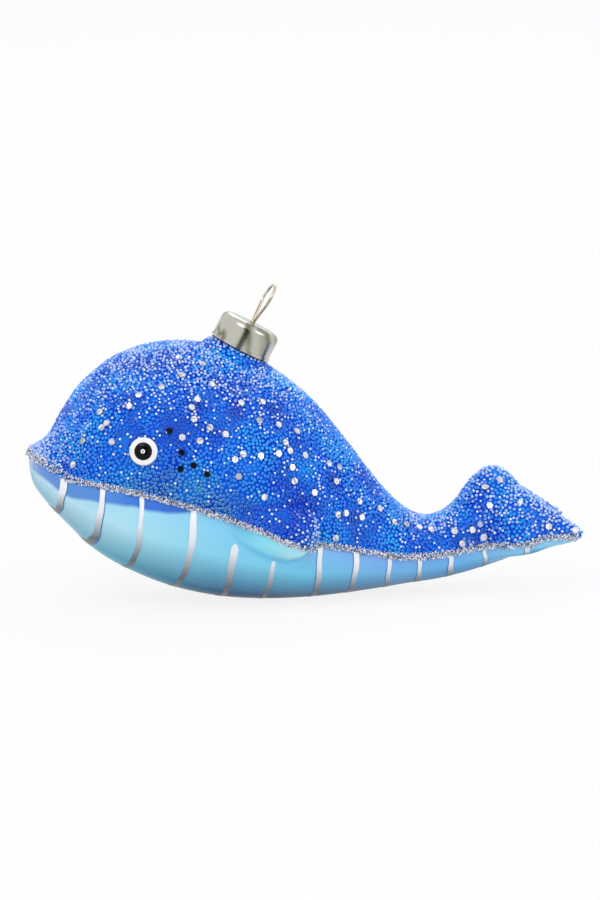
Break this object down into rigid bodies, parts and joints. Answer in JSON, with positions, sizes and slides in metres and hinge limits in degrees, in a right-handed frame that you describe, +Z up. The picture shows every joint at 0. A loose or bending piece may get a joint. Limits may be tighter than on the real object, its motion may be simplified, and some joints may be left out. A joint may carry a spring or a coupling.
{
  "type": "whale ornament",
  "caption": "Hollow blown-glass whale ornament with a beaded back, glued eyes, a pull-off metal neck cap and a sprung wire hanging loop.",
  "frame": {"origin": "under the middle of the whale, at the height of the flat that it rests on", "axes": "+X from the nose to the tips of the flukes, +Y across, +Z up"},
  "size_m": [0.1439, 0.0616, 0.0822],
  "materials": {
    "lacquered_glass": "glossy pearl lacquer on blown glass",
    "glass_beads": "clear micro beads over royal blue lacquer",
    "glitter": "silver glitter",
    "cap_metal": "satin champagne",
    "wire_metal": "bright drawn wire",
    "eye_white": "glossy",
    "pupil_black": "glossy",
    "silver_foil": "mirror foil",
    "black_foil": "glossy foil"
  },
  "bodies": {
    "whale": {"glass_body": "lacquered_glass", "glass_neck": "lacquered_glass", "bead_coat": "glass_beads", "glitter_line": "glitter", "eye_right": "eye_white", "eye_left": "eye_white", "pupil_right": "pupil_black", "pupil_left": "pupil_black", "silver_confetti_right": "silver_foil", "silver_confetti_left": "silver_foil", "black_confetti_right": "black_foil", "black_confetti_left": "black_foil"},
    "cap": {"cap": "cap_metal"},
    "hanger": {"hanger_wire": "wire_metal"}
  },
  "joints": [
    {"name": "cap_pull", "type": "slide", "parent": "whale", "child": "cap", "axis": [0.4617, 0, 0.887], "range_m": [0, 0.022]},
    {"name": "hanger_swing", "type": "hinge", "parent": "cap", "child": "hanger", "pos_m": [-0.01319, 0, 0.07208], "axis": [0, 1, 0], "range_deg": [-11.5, 4.5]}
  ]
}
